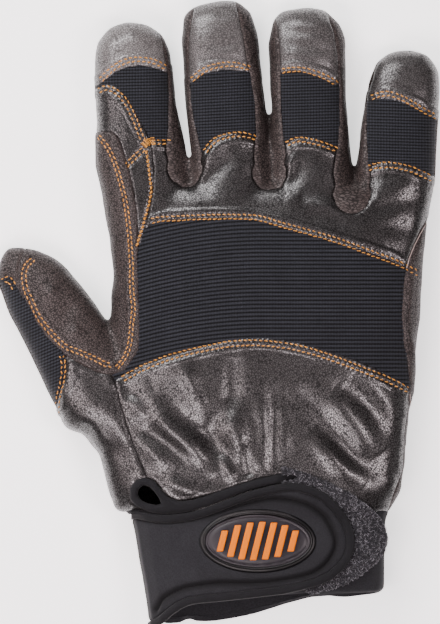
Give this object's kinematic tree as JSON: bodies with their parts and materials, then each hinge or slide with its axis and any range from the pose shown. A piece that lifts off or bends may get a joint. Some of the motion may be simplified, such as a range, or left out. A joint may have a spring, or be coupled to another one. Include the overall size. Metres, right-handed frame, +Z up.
{
  "type": "climbing glove",
  "caption": "Right-hand full-finger leather climbing glove lying palm down, with stretch knit inserts, a grip patch round the thumb crotch and a hook and loop wrist strap.",
  "frame": {"origin": "under the middle of the glove's outline, on the surface that it lies on", "axes": "+Y from the cuff to the fingertips, +Z up through the back of the hand, +X towards the little finger"},
  "size_m": [0.173, 0.2452, 0.0307],
  "materials": {
    "black_leather": "soft pebbled black goatskin with a low satin sheen",
    "brown_leather": "fine-grained matte dark brown leather",
    "stretch_knit": "charcoal ribbed stretch knit",
    "neoprene": "jersey-faced foam, charcoal, matte",
    "binding_tape": "woven black binding tape",
    "loop_fabric": "black brushed loop fabric",
    "badge_rubber": "moulded dark grey rubber, satin",
    "orange_rubber": "moulded orange rubber, satin",
    "orange_thread": "thick twisted orange sewing thread"
  },
  "bodies": {
    "root": {"vent_binding": "binding_tape", "grip_patch": "brown_leather", "fork_index_middle": "brown_leather", "fork_middle_ring": "brown_leather", "fork_ring_little": "brown_leather", "index_side": "black_leather", "thumb_tip": "brown_leather", "thumb_knit": "stretch_knit", "palm_panel": "brown_leather", "knuckle_panel": "black_leather", "back_knit": "stretch_knit", "wrist_panel": "black_leather", "thumb_gusset": "black_leather", "cuff": "neoprene", "strap_binding": "binding_tape", "strap": "neoprene", "loop_patch": "loop_fabric", "badge_rim": "badge_rubber", "badge_plate": "badge_rubber", "index_cap": "black_leather", "index_knit": "stretch_knit", "middle_cap": "black_leather", "middle_knit": "stretch_knit", "ring_cap": "black_leather", "ring_knit": "stretch_knit", "little_cap": "black_leather", "little_knit": "stretch_knit", "badge_bar_1": "orange_rubber", "badge_bar_2": "orange_rubber", "badge_bar_3": "orange_rubber", "badge_bar_4": "orange_rubber", "badge_bar_5": "orange_rubber", "badge_bar_6": "orange_rubber", "badge_bar_7": "orange_rubber"}
  },
  "joints": []
}
